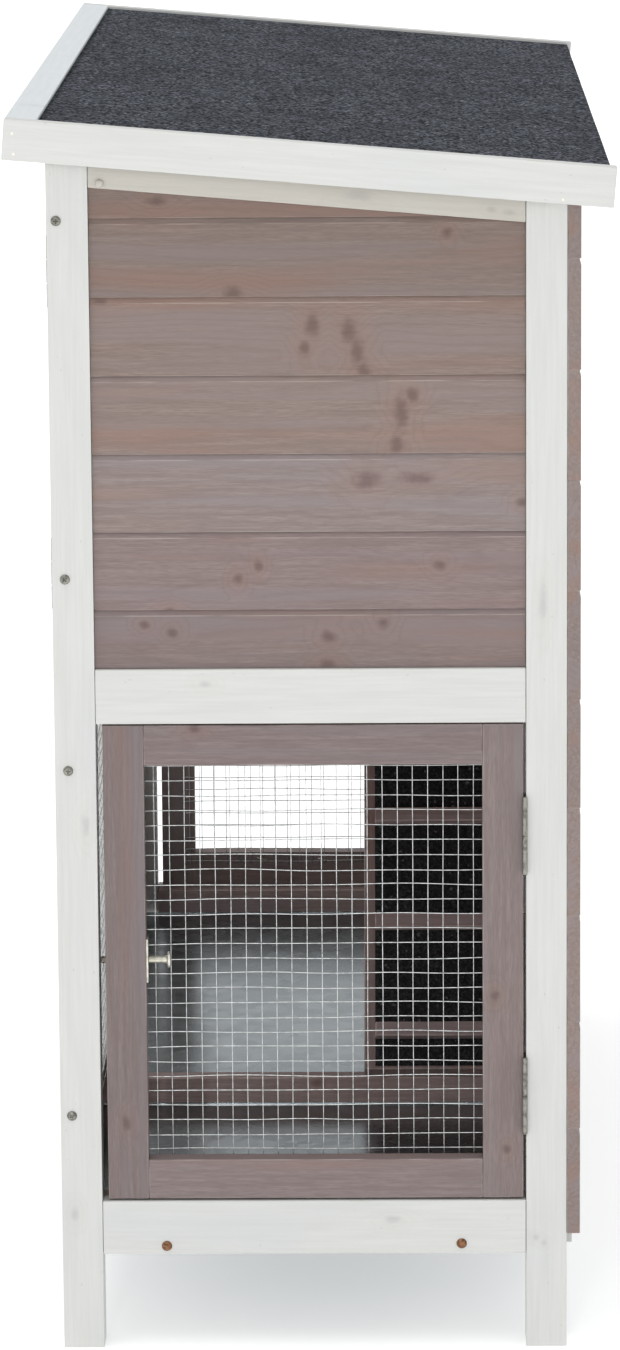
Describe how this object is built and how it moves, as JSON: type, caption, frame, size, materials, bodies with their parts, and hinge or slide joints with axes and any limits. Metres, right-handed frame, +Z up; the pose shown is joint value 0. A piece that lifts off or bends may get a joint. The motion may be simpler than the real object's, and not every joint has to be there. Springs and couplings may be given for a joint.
{
  "type": "rabbit hutch",
  "caption": "Wooden rabbit hutch on legs with a sloping felt roof, a wire-mesh run below with a bolted end door, and a ramp up to a boarded upper floor with a nest.",
  "frame": {"origin": "at floor level under the middle of the whole hutch", "axes": "+X runs along the hutch to the end with the bolted door, -Y is the front with the upper doors, +Z is up"},
  "size_m": [1.22, 0.499, 1.043],
  "materials": {
    "white_paint": "white painted softwood, satin",
    "brown_stain": "taupe stained softwood, matt, grain showing",
    "felt": "mineral-dusted bitumen roofing felt, matt",
    "deck_board": "bare board, rough",
    "galvanised": "bright galvanised",
    "zinc_steel": "bright zinc plate"
  },
  "bodies": {
    "frame": {"back_bottom_rail": "white_paint", "back_cladding": "brown_stain", "back_mid_rail": "white_paint", "back_top_rail": "white_paint", "floor_batten_left": "brown_stain", "floor_batten_middle": "brown_stain", "floor_batten_right": "brown_stain", "floor_bearer_back": "white_paint", "floor_bearer_front": "white_paint", "front_bottom_rail": "white_paint", "front_lower_mullion": "white_paint", "front_mid_rail": "white_paint", "front_top_rail": "white_paint", "front_upper_mullion": "white_paint", "hinge_post_leaf_lower": "zinc_steel", "hinge_post_leaf_upper": "zinc_steel", "left_end_bottom_rail": "white_paint", "left_end_cladding": "brown_stain", "left_end_frame": "brown_stain", "left_end_mesh": "galvanised", "left_end_mid_rail": "white_paint", "left_end_top_rail": "white_paint", "lower_front_left_frame": "brown_stain", "lower_front_left_mesh": "galvanised", "lower_front_right_frame": "brown_stain", "lower_front_right_mesh": "galvanised", "partition": "brown_stain", "post_back_left": "white_paint", "post_back_right": "white_paint", "post_front_left": "white_paint", "post_front_right": "white_paint", "right_end_bottom_rail": "white_paint", "right_end_cladding": "brown_stain", "right_end_mid_rail": "white_paint", "right_end_top_rail": "white_paint", "upper_floor_back_left": "brown_stain", "upper_floor_back_right": "brown_stain", "upper_floor_front": "brown_stain"},
    "end_door": {"bolt_plate": "zinc_steel", "end_door_bottom_rail": "brown_stain", "end_door_hinge_stile": "brown_stain", "end_door_latch_stile": "brown_stain", "end_door_mesh": "galvanised", "end_door_top_rail": "brown_stain", "hinge_door_leaf_lower": "zinc_steel", "hinge_door_leaf_upper": "zinc_steel"},
    "bolt": {"bolt": "zinc_steel"},
    "mesh_door": {"mesh_door_frame": "brown_stain", "mesh_door_mesh": "galvanised"},
    "nest_door": {"nest_door": "brown_stain"},
    "turn_button": {"turn_button": "white_paint"},
    "roof": {"roof_back_batten": "white_paint", "roof_deck": "deck_board", "roof_felt": "felt", "roof_front_rail": "white_paint", "roof_left_fascia": "white_paint", "roof_right_fascia": "white_paint"},
    "ramp": {"ramp": "brown_stain"},
    "tray_large": {"tray_large": "galvanised"},
    "tray_small": {"tray_small": "galvanised"}
  },
  "joints": [
    {"name": "end_door_hinge", "type": "hinge", "parent": "frame", "child": "end_door", "pos_m": [0.5926, 0.1749, 0.3335], "axis": [0, 0, 1], "range_deg": [0, 115]},
    {"name": "bolt_slide", "type": "slide", "parent": "end_door", "child": "bolt", "axis": [0, -1, 0], "range_m": [-0.006, 0.012]},
    {"name": "roof_hinge", "type": "hinge", "parent": "frame", "child": "roof", "pos_m": [0, 0.2237, 0.97], "axis": [-1, 0, 0], "range_deg": [0, 65]},
    {"name": "ramp_hinge", "type": "hinge", "parent": "frame", "child": "ramp", "pos_m": [-0.2486, 0.106, 0.582], "axis": [0, 1, 0], "range_deg": [-43, 0]},
    {"name": "mesh_door_hinge", "type": "hinge", "parent": "frame", "child": "mesh_door", "pos_m": [-0.555, -0.2155, 0.786], "axis": [0, 0, -1], "range_deg": [0, 110]},
    {"name": "nest_door_hinge", "type": "hinge", "parent": "frame", "child": "nest_door", "pos_m": [0.555, -0.2155, 0.786], "axis": [0, 0, 1], "range_deg": [0, 110]},
    {"name": "turn_button_turn", "type": "hinge", "parent": "frame", "child": "turn_button", "pos_m": [0, -0.2194, 0.786], "axis": [0, 1, 0], "range_deg": [0, 90]},
    {"name": "tray_large_slide", "type": "slide", "parent": "frame", "child": "tray_large", "axis": [0, -1, 0], "range_m": [0, 0.36]},
    {"name": "tray_small_slide", "type": "slide", "parent": "frame", "child": "tray_small", "axis": [0, -1, 0], "range_m": [0, 0.36]}
  ]
}
